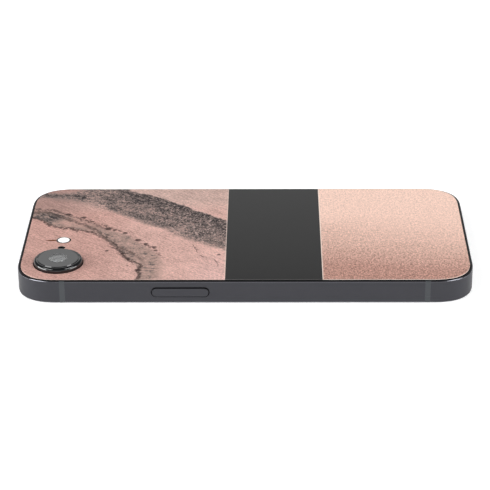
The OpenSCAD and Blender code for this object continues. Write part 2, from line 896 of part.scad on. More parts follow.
module volume_down_button() {
    color(band_grey) on_volume_face(volume_down_x) button(volume_button_l);
}

module action_button() {
    color(band_grey) on_volume_face(action_x) button(action_button_l);
}

module seal() {
    inner = plunger_r + 0.02;
    outer = seal_r - 0.02;
    translate([0, pocket_d + seal_d / 2, 0]) rotate([-90, 0, 0]) rotate_extrude()
        translate([(inner + outer) / 2, 0]) square([outer - inner, seal_d - 0.04], center = true);
}

module button_seals() {
    color([0.5, 0.15, 0.12]) {
        on_side_button_face(side_button_x) seal();
        on_volume_face(volume_up_x) seal();
        on_volume_face(volume_down_x) seal();
        on_volume_face(action_x) seal();
    }
}

// A strip behind a button's wall, with a dome in front of each plunger
module switch_strip(x0, x1, domes) {
    h = 2.6;
    block([x0, dome_d + dome_t, -h / 2], [x1, switch_d, h / 2]);
    for (x = domes) pin(0.9, x, dome_d, dome_d + dome_t + 0.1);
}

module button_switches() {
    margin = 2.5;
    color(flex_brown) {
        on_side_button_face(0)
            switch_strip(
                side_button_x - side_button_l / 2, side_button_x + side_button_l / 2, [side_button_x]
            );
        on_volume_face(0)
            switch_strip(action_x - margin, volume_down_x + margin, [action_x, volume_up_x, volume_down_x]);
    }
}

// ---- Card tray ----

module sim_tray() {
    color(band_grey) on_volume_face(tray_x) difference() {
        union() {
            pill(tray_face_l, tray_face_h, 0, face_d);
            block(
                [-carrier_shift - carrier_w / 2, face_d - 0.2, -carrier_t / 2],
                [-carrier_shift + carrier_w / 2, face_d + carrier_d, carrier_t / 2]
            );
        }
        block(
            [-carrier_shift - card_w / 2, face_d + carrier_d - card_d - 1.2, -carrier_t],
            [-carrier_shift + card_w / 2, face_d + carrier_d - 1.2, carrier_t]
        );
        pin(eject_r, eject_shift, -over, face_d + over);
    }
}

module sim_reader() {
    w = carrier_w + 2 * carrier_gap;
    h = carrier_t + 2 * carrier_gap;
    color(steel) on_volume_face(tray_x) translate([-carrier_shift, 0, 0]) difference() {
        block([-reader_w / 2, reader_d0, -reader_h / 2], [reader_w / 2, reader_d1, reader_h / 2]);
        block([-w / 2, reader_d0 - over, -h / 2], [w / 2, reader_d1 - 0.3, h / 2]);
        block([-w / 2 + 1.5, reader_d0 + 3, 0], [w / 2 - 1.5, reader_d1 - 3, reader_h]);
    }
}

// ---- Boards ----

module logic_board() {
    color(board_green) difference() {
        within_cavity(board_z, board_t) rectangle(board_x0, board_x1, board_y0, board_y1);
        block(
            [reader_cut_x0, reader_cut_y, board_z - over],
            [reader_cut_x1, half_w, board_z + board_t + over]
        );
        for (p = BOARD_SCREWS) rod(screw_hole_r, p[0], p[1], board_z - over, board_z + board_t + over);
    }
}

module upper_board() {
    t = 1;
    low = [stack_x0, stack_y0, board_z + board_t];
    color(board_green) difference() {
        block(low, [stack_x1, stack_y1, upper_z + board_t]);
        block(low + [t, t, -over], [stack_x1 - t, stack_y1 - t, upper_z]);
    }
}

// A row of chips of equal pitch, which together fill most of the row
module chip_row(x0, x1, y, z, n, w, h) {
    pitch = (x1 - x0) / n;
    for (i = [0 : n - 1])
        translate([x0 + (i + 0.5) * pitch, y, z + h / 2]) cube([0.72 * pitch, w, h], center = true);
}

module board_chips() {
    mid_y = (stack_y0 + stack_y1) / 2;
    low_z = board_z + board_t;
    top_z = upper_z + board_t;
    color([0.08, 0.08, 0.09]) {
        chip_row(stack_x0 + 1.5, stack_x1 - 1.5, mid_y, low_z, 3, 11, interposer_h - 0.2);
        for (side = [-1, 1])
            chip_row(stack_x0 + 1, stack_x1 - 1, mid_y + side * 3.6, top_z, 4, 5.4, 0.5);
        chip_row(board_x0 + 3.2, battery_x0 - 3, board_y0 + 3.4, low_z, 2, 4.6, 0.7);
        chip_row(reader_cut_x1 + 1, board_x1 - 1, board_y0 + 4.4, low_z, 2, 5.4, 0.8);
    }
}

// Shield cans on the upper board, open underneath
module board_shields() {
    t = 0.2;
    z0 = upper_z + board_t;
    z1 = inner_z1 - 0.05;
    parts = 2;
    step = (stack_x1 - stack_x0) / parts;
    color(steel) for (i = [0 : parts - 1]) {
        low = [stack_x0 + i * step + 0.2, stack_y0 + 0.2, z0];
        high = [stack_x0 + (i + 1) * step - 0.2, stack_y1 - 0.2, z1];
        difference() {
            block(low, high);
            block(low + [t, t, -over], high - [t, t, t]);
        }
    }
}

// ---- Battery and cables ----

module battery_cell() {
    l = battery_x1 - battery_x0;
    w = battery_y1 - battery_y0;
    color([0.12, 0.12, 0.13]) translate([battery_x0 + l / 2, battery_y0 + w / 2, battery_z0])
        linear_extrude(inner_z1 - battery_z0) rounded_2d(l, w, 1.5);
}

module battery_flex() {
    x0 = battery_x0 - 2.7;
    x1 = battery_x0 - 0.3;
    color(flex_brown) {
        block([x0, battery_y1 - 24, battery_z0 + 0.4], [x1, battery_y1 - 2, battery_z0 + 2.2]);
        block([x0, battery_y1 - 2, battery_z0 + 2], [x1, board_y0 + 6, battery_z0 + 2 + flex_t]);
        block([x0, board_y0 + 3, board_z + board_t], [x1, board_y0 + 6, battery_z0 + 2]);
    }
}

// From the gap behind the panel, up through the plate and over to the logic board
module display_flex() {
    y0 = board_y1 - 9;
    y1 = board_y1 - 2.8;
    x_up = board_x0 - 2.6;
    z_top = board_z + board_t + 1;
    z_low = gasket_z + 0.04;
    color(flex_brown) {
        block([x_up, y0, z_low], [board_x0 + 9, y1, z_low + flex_t]);
        block([x_up, y0, z_low], [x_up + flex_t, y1, z_top + flex_t]);
        block([x_up, y0, z_top], [board_x0 + 8, y1, z_top + flex_t]);
        block([board_x0 + 3.6, y0 + 0.5, board_z + board_t], [board_x0 + 7.6, y1 - 0.5, z_top]);
    }
}

module dock_flex() {
    x0 = board_x1 - 4;
    y0 = board_y0 + 9.4;
    z = speaker_z1 + 0.08;
    color(flex_brown) {
        block([x0, y0, z], [bottom_x + 3.4, y0 + 5, z + flex_t]);
        block([bottom_x + 0.4, -6.4, z], [bottom_x + 3.4, y0 + 5, z + flex_t]);
        block([x0, y0 + 0.4, board_z + board_t], [x0 + 2.6, y0 + 4.6, z]);
        block([bottom_x + 0.4, -6.4, cavity_z0 + fit_gap], [bottom_x + 2.6, 5.4, z]);
    }
}

module charge_coil() {
    inner = 10;
    turns = 8;
    pitch = (coil_r - inner) / turns;
    color(copper) translate([0, 0, coil_z]) {
        for (i = [0 : turns - 1]) difference() {
            cylinder(r = inner + (i + 0.85) * pitch, h = coil_t);
            translate([0, 0, -over]) cylinder(r = inner + i * pitch, h = coil_t + 2 * over);
        }
        block([inner + pitch / 2, -1, 0.1], [coil_r - pitch / 2, 1, 0.35]);
    }
}

module coil_ferrite() {
    color([0.18, 0.17, 0.17]) translate([0, 0, ferrite_z]) difference() {
        cylinder(r = coil_r + 0.8, h = ferrite_t);
        translate([0, 0, -over]) cylinder(r = 2.5, h = ferrite_t + 2 * over);
    }
}

// ---- Port end ----

module haptic_housing() {
    low = [haptic_x0, haptic_y0, haptic_z0];
    high = [haptic_x0 + haptic_w, haptic_y1, haptic_z1];
    t = haptic_t * [1, 1, 1];
    color(steel) difference() {
        block(low, high);
        block(low + t, high - t);
        block([low[0] + 3, high[1] - 2, high[2] - 1], [high[0] - 3, high[1] - 1, high[2] + 1]);
    }
}

module haptic_mass() {
    gap = 0.12;
    low = [haptic_x0, haptic_y0, haptic_z0] + (haptic_t + gap) * [1, 1, 1];
    high = [haptic_x0 + haptic_w, haptic_y1, haptic_z1] - (haptic_t + gap) * [1, 1, 1];
    end = [0, haptic_travel + 0.6, 0];
    color([0.4, 0.4, 0.42]) difference() {
        block(low + end, high - end);
        for (y = [0.3, 0.7])
            translate([(low[0] + high[0]) / 2, low[1] + y * (high[1] - low[1]), low[2] - over])
                cylinder(r = 2.2, h = over + 0.8);
    }
}

// The loudspeaker's outline, or its hollow when moved inwards
module speaker_2d(inset) {
    intersection() {
        union() {
            rectangle(speaker_x0 + inset, bottom_x + 8 - inset, board_y0 + inset, module_y - inset);
            rectangle(bottom_x + 4 + inset, speaker_x1 - inset, speaker_y0 + inset, module_y - inset);
        }
        outline(wall_t + fit_gap + inset);
    }
}

module speaker_box() {
    color([0.1, 0.1, 0.1]) difference() {
        translate([0, 0, speaker_z0]) linear_extrude(speaker_z1 - speaker_z0) speaker_2d(0);
        translate([0, 0, speaker_z0 + speaker_wall])
            linear_extrude(speaker_z1 - speaker_z0 - 2 * speaker_wall) speaker_2d(speaker_wall);
        translate([cone_x, cone_y, speaker_z1 - speaker_wall - over])
            linear_extrude(speaker_wall + 2 * over) rounded_2d(cone_w + 0.4, cone_l + 0.4, 2.2);
        block([speaker_x1 - over, vent_y, mid_z - 0.8], [speaker_x1 + over, module_y - 6, mid_z + 0.8]);
    }
}

module speaker_diaphragm() {
    color([0.25, 0.2, 0.12]) translate([cone_x, cone_y, cone_z]) {
        linear_extrude(0.15) rounded_2d(cone_w, cone_l, 2);
        translate([0, 0, 0.1]) linear_extrude(0.25) rounded_2d(cone_w - 4, cone_l - 4, 1);
    }
}

module vent_mesh(side, n) {
    x1 = cavity_x - 0.1;
    y_in = vent_y - vent_r - 0.4;
    y_out = vent_y + (n - 1) * vent_pitch + vent_r + 0.4;
    low = side > 0 ? y_in : -y_out;
    high = side > 0 ? y_out : -y_in;
    block([x1 - mesh_t, low, mid_z - 1.2], [x1, high, mid_z + 1.2]);
}

module bottom_meshes() {
    color([0.2, 0.2, 0.21]) {
        vent_mesh(1, vent_n);
        vent_mesh(-1, mic_vent_n);
    }
}

module bottom_microphone() {
    y = -vent_y - (mic_vent_n - 1) * vent_pitch / 2;
    x1 = cavity_x - mesh_t - 0.2;
    color([0.7, 0.65, 0.4]) difference() {
        block([x1 - 3, y - 2, mid_z - 1], [x1, y + 2, mid_z + 1]);
        translate([x1 - 1, y, mid_z]) rotate([0, 90, 0]) cylinder(r = 0.5, h = 2);
    }
}

module usb_shell() {
    color(steel) on_port_face(0) difference() {
        pill(shell_w, shell_h, half_l - shell_x1, half_l - shell_x0);
        pill(port_w, port_h, -over, half_l - shell_x0 + over);
    }
}

module usb_tongue() {
    base_d0 = half_l - shell_x0 - base_d;
    gap = 0.02;
    color([0.07, 0.07, 0.07]) on_port_face(0) {
        pill(port_w - 2 * gap, port_h - 2 * gap, base_d0, half_l - shell_x0);
        block(
            [-tongue_w / 2, base_d0 - tongue_l, -tongue_t / 2],
            [tongue_w / 2, base_d0 + 0.2, tongue_t / 2]
        );
    }
}

module usb_contacts() {
    base_d0 = half_l - shell_x0 - base_d;
    color([0.85, 0.66, 0.3]) on_port_face(0)
        for (i = [0 : contact_n - 1], side = [-1, 1])
            translate([
                (i - (contact_n - 1) / 2) * contact_pitch,
                base_d0 - contact_l / 2 - 0.2,
                side * (tongue_t + contact_t) / 2
            ])
                cube([contact_w, contact_l, contact_t], center = true);
}

// A screw with a five-lobed socket, its axis running into the frame
module bottom_screw() {
    head_d1 = bottom_screw_sink + bottom_head_t;
    difference() {
        union() {
            pin(bottom_head_r, 0, bottom_screw_sink, head_d1);
            pin(bottom_screw_r, 0, head_d1 - 0.1, head_d1 + bottom_screw_l);
        }
        pin(0.3, 0, bottom_screw_sink - over, bottom_screw_sink + 0.4);
        for (a = [0 : 72 : 288]) rotate([0, a, 0])
            pin(0.2, 0.32, bottom_screw_sink - over, bottom_screw_sink + 0.4);
    }
    difference() {
        pin(nut_r, 0, wall_t + 0.1, wall_t + 0.1 + nut_l);
        pin(bottom_screw_r + 0.02, 0, 0, 2 * wall_t + nut_l);
    }
}

module bottom_screws() {
    color(steel) for (side = [-1, 1]) on_port_face(side * screw_pitch) bottom_screw();
}

module internal_screws() {
    color(steel) for (p = BOARD_SCREWS) difference() {
        union() {
            rod(screw_r, p[0], p[1], plate_z + 0.2, board_z + board_t + 0.1);
            rod(head_r, p[0], p[1], board_z + board_t, board_z + board_t + head_h);
        }
        rod(0.35, p[0], p[1], board_z + board_t + head_h - 0.25, board_z + board_t + head_h + over);
    }
}

frame_band();
antenna_breaks();
mid_plate();
display_glass();
display_mask();
oled_panel();
display_shield();
display_carrier();
display_gasket();
earpiece_mesh();
back_glass();
back_plate();
back_gasket();
skin_marble();
skin_centre();
skin_foil();
camera_ring();
camera_window();
camera_housing();
camera_barrel();
camera_lens();
camera_sensor();
flash_lens();
flash_board();
rear_microphone();
front_camera_housing();
front_camera_barrel();
infrared_camera();
dot_projector();
sensor_bracket();
earpiece_speaker();
side_button();
volume_up_button();
volume_down_button();
action_button();
button_seals();
button_switches();
sim_tray();
sim_reader();
logic_board();
upper_board();
board_chips();
board_shields();
battery_cell();
battery_flex();
display_flex();
dock_flex();
charge_coil();
coil_ferrite();
haptic_housing();
haptic_mass();
speaker_box();
speaker_diaphragm();
bottom_meshes();
bottom_microphone();
usb_shell();
usb_tongue();
usb_contacts();
bottom_screws();
internal_screws();
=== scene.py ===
"""Smartphone lying face down: looks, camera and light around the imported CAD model."""

import json
import math

import bpy
from mathutils import Matrix, Vector


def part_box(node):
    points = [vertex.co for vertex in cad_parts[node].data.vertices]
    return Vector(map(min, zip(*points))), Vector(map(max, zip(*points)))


MM = 0.001

# The film's panels on the back, in millimetres: marble, then plain grey, then foil
MARBLE_END = -6.5
FOIL_START = 24.95
FILM_EDGE = 34

# The marble's sweeps, veins and cracks, as points of (x, y) on the back
BROAD_TOP = [
    (-76, 31), (-66, 31.5), (-60, 32.5), (-56, 38), (-44, 38), (-40, 33), (-35, 30.5),
    (-30, 27.5), (-25, 24), (-20, 20), (-15, 15.5), (-10, 11.5), (-4, 7),
]
BROAD_LOW = [
    (-76, 28), (-70, 27.2), (-65, 26), (-60, 24.5), (-55, 22.5), (-50, 19.5), (-45, 15.5), (-40, 12),
    (-36, 8.5), (-31, 5), (-27, 2), (-23.5, -1.5), (-20, -5), (-15, -8), (-10, -11.5), (-4, -15),
]
THIN_TOP = [
    (-76, 19.5), (-68, 18.5), (-62, 16), (-58, 12.8), (-54, 10), (-50, 6.5), (-45, 3), (-40, -0.5),
    (-36, -5.5), (-33, -9), (-30, -13), (-27.5, -18), (-24.5, -25), (-22, -40),
]
THIN_LOW = [
    (-76, 15), (-70, 9.5), (-66, 6), (-63, 4), (-60, 3), (-55, 1), (-51, -0.5), (-48, -3.5),
    (-44, -9.5), (-41, -15), (-38.5, -20), (-36, -23), (-34.6, -26), (-34, -32), (-33.6, -40),
]
INNER_VEIN = [
    (-68, 16), (-64, 13.5), (-61, 10.5), (-58, 8), (-54, 5.5), (-50, 1.5), (-47, -3.8), (-43, -10),
    (-39, -13.2), (-37, -15.2), (-34, -20), (-32, -25),
]
CRACK = [
    (-35, -38), (-33.9, -31.5), (-34.4, -28.5), (-33.7, -25.5), (-35.2, -22.5), (-38, -20),
    (-40, -17), (-41.3, -13), (-43, -9), (-47, -3),
]
HAIR_CRACK = [
    (-9.6, -27), (-8.8, -25), (-9.4, -22), (-10.8, -20), (-13, -19), (-15, -16), (-16, -13), (-19.5, -8),
]
# Dark drops, as (x, y, radius)
DROPS = [
    (-46, 2.7, 1.2), (-43.8, 1.8, 0.8), (-40.2, -0.6, 0.9), (-35.6, -6, 1.1), (-32.8, -8.9, 0.8),
    (-29.9, -11.3, 0.8), (-29.4, -13.8, 0.7), (-40, -16, 0.8), (-38, -20.2, 0.6), (-34.2, -28.2, 1.1),
    (-37.8, -25, 0.35), (-45.3, -14, 0.6), (-60.5, 13.8, 1.0), (-55, 11.6, 0.9), (-8.6, -17, 0.6),
]


# ---- Materials ----

def tone(red, green, blue):
    """A colour given as it looks on a screen, from 0 to 255, as linear light."""
    def linear(value):
        value /= 255
        return value / 12.92 if value <= 0.04045 else ((value + 0.055) / 1.055) ** 2.4

    return (linear(red), linear(green), linear(blue), 1.0)


# Hues of the marble's dark minerals, from thin to thick
BROWN = tone(154, 132, 125)
ASH = tone(112, 102, 99)
COAL = tone(62, 57, 58)
BLACK = (0, 0, 0, 1)


class Surface:
    """A procedural material, laid out in millimetres of the phone's own frame."""

    def __init__(self, name, color, rough, metal=0.0, **sockets):
        self.material = bpy.data.materials.new(name)
        self.material.use_nodes = True
        self.tree = self.material.node_tree
        self.shader = self.tree.nodes["Principled BSDF"]
        self.set("Base Color", color)
        self.set("Roughness", rough)
        self.set("Metallic", metal)
        for socket, value in sockets.items():
            self.set(socket.replace("_", " ").title().replace("Ior", "IOR"), value)
        place = self.node("TexCoord").outputs["Object"]
        self.mm = self.node("VectorMath", operation="SCALE", Vector=place, Scale=1 / MM).outputs[0]
        split = self.node("SeparateXYZ", Vector=self.mm).outputs
        self.x, self.y, self.z = split

    def set(self, socket, value):
        """Sets or links one of the shader's own sockets."""
        self.feed(self.shader.inputs[socket], value)

    def feed(self, socket, value):
        if isinstance(value, bpy.types.NodeSocket):
            self.tree.links.new(value, socket)
        else:
            socket.default_value = value

    def node(self, kind, **settings):
        """A node, with its properties in lower case and its sockets with a capital."""
        made = self.tree.nodes.new("ShaderNode" + kind)
        for key, value in settings.items():
            if key[0].islower():
                setattr(made, key, value)
        for key, value in settings.items():
            if key[0].isupper():
                self.feed(made.inputs[key.replace("_", " ")], value)
        return made

    def math(self, operation, *values):
        """One sum, with each value a number or another node's output."""
        made = self.node("Math", operation=operation)
        for socket, value in zip(made.inputs, values):
            self.feed(socket, value)
        return made.outputs[0]

    def add(self, a, b):
        return self.math("ADD", a, b)

    def sub(self, a, b):
        return self.math("SUBTRACT", a, b)

    def mul(self, a, b):
        return self.math("MULTIPLY", a, b)

    def swing(self, value, reach):
        """A noise centred on nothing and stretched, as noise alone keeps close to its middle."""
        return self.mul(self.sub(value, 0.5), reach)

    def total(self, *values):
        out = values[0]
        for value in values[1:]:
            out = self.add(out, value)
        return out

    def most(self, *values):
        """The largest of the values."""
        out = values[0]
        for value in values[1:]:
            out = self.math("MAXIMUM", out, value)
        return out

    def fade(self, value, start, end, low=0.0, high=1.0):
        """Runs smoothly from low to high as value goes from start to end, and stays there."""
        made = self.node(
            "MapRange", interpolation_type="SMOOTHSTEP",
            Value=value, From_Min=start, From_Max=end, To_Min=low, To_Max=high,
        )
        return made.outputs["Result"]

    def noise(self, size, detail=3.0, rough=0.55, at=None, distortion=0.0):
        """Noise whose lumps are about size millimetres across, from 0 to 1."""
        made = self.node(
            "TexNoise", Vector=at or self.mm, Scale=1 / size,
            Detail=detail, Roughness=rough, Distortion=distortion,
        )
        return made.outputs[0]

    def cells(self, size, feature="F1"):
        """Distance within cells about size millimetres across."""
        made = self.node("TexVoronoi", feature=feature, Vector=self.mm, Scale=1 / size)
        return made.outputs["Distance"]

    def rings(self, scale):
        """Fine rings round the phone's upright axis."""
        made = self.node(
            "TexWave", wave_type="RINGS", rings_direction="Z", Vector=self.mm, Scale=scale,
        )
        return made.outputs[0]

    def bands(self, axis, scale):
        """Fine even bands, one after another along an axis."""
        return self.node("TexWave", bands_direction=axis, Vector=self.mm, Scale=scale).outputs[0]

    def spot(self, x, y, across, along_y):
        """Distance from a point in the back's plane, 1 on an ellipse with these half widths."""
        from_x = self.math("DIVIDE", self.sub(self.x, x), across)
        from_y = self.math("DIVIDE", self.sub(self.y, y), along_y)
        wobble = self.swing(self.noise(1.2, 2), 0.5)
        return self.add(self.length(from_x, from_y), wobble)

    def length(self, a, b):
        """How far the point (a, b) lies from (0, 0)."""
        return self.math("POWER", self.add(self.mul(a, a), self.mul(b, b)), 0.5)

    def gate(self, value, start, end, soft=1.0):
        """1 where value lies between start and end."""
        begun = self.fade(value, start - soft, start + soft)
        left = self.fade(value, end + soft, end - soft)
        return self.mul(begun, left)

    def seam(self, distance, width, gaps):
        """A dark line where distance is near 0, which breaks up over lengths of gaps millimetres."""
        swell = self.noise(gaps, 3, 0.6)
        half = self.fade_linear(swell, 0.3, 0.72, 0.0, width)
        return self.fade(distance, half, self.mul(half, 0.35))

    def line_to(self, value, other):
        """How far value is from other, either way."""
        return self.math("ABSOLUTE", self.sub(value, other))

    def along(self, run, length, drift, width):
        """Coordinates that follow a band: run is the way along it, drift the way across it."""
        made = self.node("CombineXYZ", X=self.mul(run, 1 / length), Y=self.mul(drift, 1 / width))
        return made.outputs[0]

    def smear(self, distance, width):
        """A smudged dark line where distance is near 0, broken into blots."""
        blots = self.swing(self.noise(1.2, 4, 0.75), 3.4)
        return self.fade(self.add(self.mul(distance, 1 / width), blots), 0.95, 0.25)

    def turned(self, angle, along, across):
        """Coordinates that run along a direction in degrees, stretched along it and across it."""
        made = self.node(
            "Mapping", vector_type="TEXTURE", Vector=self.mm,
            Rotation=(0, 0, math.radians(angle)), Scale=(along, across, across),
        )
        return made.outputs[0]

    def graph(self, value, points):
        """A smooth curve through points of (value, result)."""
        xs = [p[0] for p in points]
        ys = [p[1] for p in points]
        x0, x1, y0, y1 = min(xs), max(xs), min(ys), max(ys)
        made = self.node("FloatCurve")
        self.feed(made.inputs["Value"], self.fade_linear(value, x0, x1))
        curve = made.mapping.curves[0]
        spots = sorted(((x - x0) / (x1 - x0), (y - y0) / (y1 - y0)) for x, y in points)
        for spot in spots[1:-1]:
            curve.points.new(*spot)
        curve.points[0].location = spots[0]
        curve.points[-1].location = spots[-1]
        made.mapping.update()
        return self.add(self.mul(made.outputs[0], y1 - y0), y0)

    def fade_linear(self, value, start, end, low=0.0, high=1.0):
        """Runs evenly from low to high as value goes from start to end, and stays there."""
        made = self.node("MapRange", Value=value, From_Min=start, From_Max=end, To_Min=low, To_Max=high)
        return made.outputs["Result"]

    def mix(self, amount, a, b):
        """Colour a, or b where amount is 1."""
        made = self.node("Mix", data_type="RGBA")
        self.feed(made.inputs[0], amount)
        self.feed(made.inputs[6], a)
        self.feed(made.inputs[7], b)
        return made.outputs[2]

    def scaled(self, color, amount):
        """A colour times a number that varies over the surface."""
        made = self.node("VectorMath", operation="SCALE")
        self.feed(made.inputs[0], color if isinstance(color, bpy.types.NodeSocket) else color[:3])
        self.feed(made.inputs["Scale"], amount)
        return made.outputs[0]

    def bump(self, height, depth, strength=1.0):
        """Raises the surface by depth millimetres where height is 1."""
        made = self.node("Bump", Strength=strength, Distance=depth * MM, Height=height)
        self.set("Normal", made.outputs[0])

    def upright(self):
        """1 where the surface faces up, 0 on a wall and -1 where it faces down."""
        normal = self.node("NewGeometry").outputs["Normal"]
        return self.node("SeparateXYZ", Vector=normal).outputs["Z"]

    def cut_edge_and_rim_highlight(self):
        """1 on a film's trimmed side, which is pale, and on the very rim of its face, where the paleness
        is a painted highlight.
        """
        side = self.fade(self.math("ABSOLUTE", self.upright()), 0.9, 0.5)
        # the side's paleness is the film's own pale core; on the face's rim it is a painted highlight
        return self.most(side, self.mul(self.edges(0.13), 0.8))

    def edges(self, width):
        """1 at the piece's sharp edges, falling to 0 within width millimetres."""
        soft = self.node("Bevel", samples=4, Radius=width * MM).outputs[0]
        flat = self.node("NewGeometry").outputs["Normal"]
        same = self.node("VectorMath", operation="DOT_PRODUCT")
        self.feed(same.inputs[0], soft)
        self.feed(same.inputs[1], flat)
        return self.fade(same.outputs["Value"], 0.995, 0.9)


def blasted_metal(
    name, color, rough, grain=0.12, worn=0.12, depth=0.004, metal=1.0, polish_and_glint=0.0, **sockets
):
    """Fine-blasted and anodised metal, brighter along worn edges and polished on its rounded ones, whose
    colour is also brightened there as a painted highlight.
    """
    s = Surface(name, color, rough, metal, **sockets)
    speck = s.noise(grain, 2)
    cloud = s.noise(9, 2)
    rounded = s.gate(s.math("ABSOLUTE", s.upright()), 0.2, 0.92, 0.05)
    shade = s.total(0.93, s.mul(speck, 0.08), s.mul(cloud, 0.06), s.mul(s.edges(0.12), worn))
    # painted highlight: the colour of the rounded faces is brightened so their glints read brighter; the
    # lower roughness there is a real polished finish
    s.set("Base Color", s.scaled(color, s.mul(shade, s.add(1, s.mul(rounded, 2 * polish_and_glint)))))
    matt = s.add(rough - 0.05, s.mul(s.noise(2.5, 3), 0.1))
    s.set("Roughness", s.mul(matt, s.sub(1, s.mul(rounded, polish_and_glint))))
    s.bump(speck, depth, 0.5)
    return s.material


def rolled_metal(name, color, rough, angle=0):
    """Sheet metal with rolling lines along one direction."""
    s = Surface(name, color, rough, 1.0)
    lines = s.noise(1, 4, at=s.turned(angle, 14, 0.12))
    stain = s.noise(6, 3)
    s.set("Base Color", s.scaled(color, s.total(0.86, s.mul(lines, 0.16), s.mul(stain, 0.12))))
    s.set("Roughness", s.add(rough - 0.08, s.mul(lines, 0.16)))
    s.bump(lines, 0.003, 0.6)
    return s.material


def moulded(name, color, rough, grain=0.2, depth=0.006, **sockets):
    """Moulded plastic or rubber with a fine eroded texture."""
    s = Surface(name, color, rough, **sockets)
    pits = s.noise(grain, 3)
    flow = s.noise(5, 2)
    s.set("Base Color", s.scaled(color, s.total(0.88, s.mul(pits, 0.12), s.mul(flow, 0.12))))
    s.set("Roughness", s.add(rough - 0.05, s.mul(pits, 0.1)))
    s.bump(pits, depth, 0.7)
    return s.material


def clear_glass(name, color, rough):
    """Polished glass that lets the pieces below it show, with faint smears."""
    s = Surface(name, color, rough, Transmission_Weight=1.0)
    smear = s.noise(7, 4, at=s.turned(25, 3, 1))
    s.set("Roughness", s.add(rough, s.mul(smear, 0.03)))
    s.set("Base Color", s.scaled(color, s.add(0.9, s.mul(smear, 0.2))))
    s.bump(s.noise(20, 1), 0.002, 0.3)
    return s.material


def camera_window(name, box):
    """Polished glass with a black print under it, which leaves a clear opening over the lens."""
    s = Surface(name, tone(235, 238, 238), 0.01)
    low, high = (Vector(corner) / MM for corner in box)
    axis = (low + high) / 2
    opening_r = 2.9
    radius = s.length(s.sub(s.x, axis.x), s.sub(s.y, axis.y))
    printed = s.fade(radius, opening_r - 0.05, opening_r + 0.05)
    smear = s.noise(3, 4, at=s.turned(25, 3, 1))
    clear = s.scaled(tone(240, 243, 243), s.add(0.95, s.mul(smear, 0.08)))
    s.set("Base Color", s.mix(printed, clear, tone(9, 10, 11)))
    s.set("Transmission Weight", s.sub(1, printed))
    s.set("Roughness", s.add(0.005, s.mul(smear, 0.02)))
    return s.material


def marble_ground(s):
    """Rose ground, paler to the right, with slanting strands and a fine grain."""
    rose = s.mix(s.fade(s.x, -54, -30), tone(204, 161, 151), tone(218, 177, 167))
    rose = s.mix(s.mul(s.fade(s.x, -22, -8), s.fade(s.y, -8, -30)), rose, tone(228, 187, 179))
    rose = s.mix(s.fade(s.y, 13, 28), rose, tone(208, 177, 167))
    rose = s.mix(s.mul(s.fade(s.x, -48, -62), s.fade(s.y, 12, 20)), rose, tone(176, 142, 134))
    strands = s.noise(1, 4, 0.6, at=s.turned(-40, 7, 0.8), distortion=0.5)
    grit = s.noise(0.55, 3, 0.8, at=s.turned(-40, 1.7, 0.8))
    shade = s.total(0.95, s.swing(strands, 0.8), s.swing(s.noise(8, 3), 0.5), s.swing(grit, 2.1))
    moss = s.fade(s.noise(1.3, 3, 0.6, at=s.turned(30, 1, 1)), 0.5, 0.75, 0, 0.35)
    ground = s.mix(moss, s.scaled(rose, shade), tone(196, 164, 146))
    return ground, shade, grit


def broad_sweep(s, x, y, ground, shade, pepper):
    """The broad dark sweep: speckled, densest along its top, with two pale islands."""
    from_top = s.sub(s.graph(x, BROAD_TOP), y)
    from_low = s.sub(y, s.graph(x, BROAD_LOW))
    sweep = s.mul(s.fade(from_top, -0.6, 0.9), s.fade(from_low, -2.4, 4.6))
    east = s.fade(s.x, -55, -37)
    upper = s.mul(s.fade(from_top, 14, 2), east)
    lower = s.mul(s.gate(from_low, 0.4, 5), s.gate(s.x, -47, -24))
    far_end = s.mul(s.gate(s.y, 26.5, 30.5), s.fade(s.x, -53, -58))
    flow = s.noise(1, 4, 0.6, at=s.along(s.x, 5.5, from_low, 1.3))
    lumps = s.noise(3.6, 3, 0.6)
    dust = s.noise(0.6, 2, 0.7)
    density = s.total(
        0.34, s.mul(east, 0.2), s.mul(upper, 0.3), s.mul(lower, 0.2), s.mul(far_end, 0.4),
        s.swing(flow, 1.7), s.swing(lumps, 0.9), s.swing(pepper, 2.6), s.swing(dust, 2.6),
    )
    density = s.sub(density, s.mul(s.fade(s.spot(-24, 2, 5.5, 3), 1.2, 0.4), 0.5))
    density = s.sub(density, s.mul(s.fade(s.spot(-37, 18.5, 7, 4.5), 1.4, 0.4), 0.2))
    density = s.mul(density, sweep)

    fill = s.mul(sweep, s.total(0.38, s.mul(east, 0.42), s.swing(flow, 1.5)))
    base = s.mix(fill, ground, s.scaled(tone(152, 131, 125), s.add(shade, 0.02)))
    base = s.mix(s.fade(density, 0.02, 0.3), base, BROWN)
    base = s.mix(s.fade(density, 0.22, 0.58), base, ASH)
    base = s.mix(s.fade(density, 0.5, 1.0), base, COAL)
    salt = s.fade(s.noise(0.8, 2, 0.7, at=s.turned(55, 1.3, 0.8)), 0.56, 0.66, 0, 0.95)
    salt = s.mul(s.mul(salt, sweep), s.fade(s.x, -44, -14, 0.25, 1))
    return s.mix(salt, base, tone(196, 172, 164))


def thin_sweep(s, base, band, above, pepper):
    """The thinner sweep: layered silt, darkest at its far end."""
    layers = s.noise(1, 4, 0.65, at=s.along(s.x, 4.5, above, 0.9))
    silt = s.total(
        0.08, s.swing(layers, 2.2), s.swing(s.noise(2.6, 3, 0.6), 1.2), s.swing(pepper, 1.8),
        s.mul(s.fade(s.spot(-67.5, 11.5, 6.5, 4), 1.4, 0.4), 0.45),
        s.mul(s.fade(s.spot(-57, 7.5, 6, 3), 1.4, 0.5), -0.5),
    )
    silt = s.mul(silt, band)
    base = s.mix(s.mul(band, s.fade(silt, -0.4, 0.16, 0.35, 1)), base, tone(171, 144, 134))
    base = s.mix(s.fade(silt, 0.14, 0.5), base, ASH)
    return s.mix(s.fade(silt, 0.45, 0.9), base, COAL)


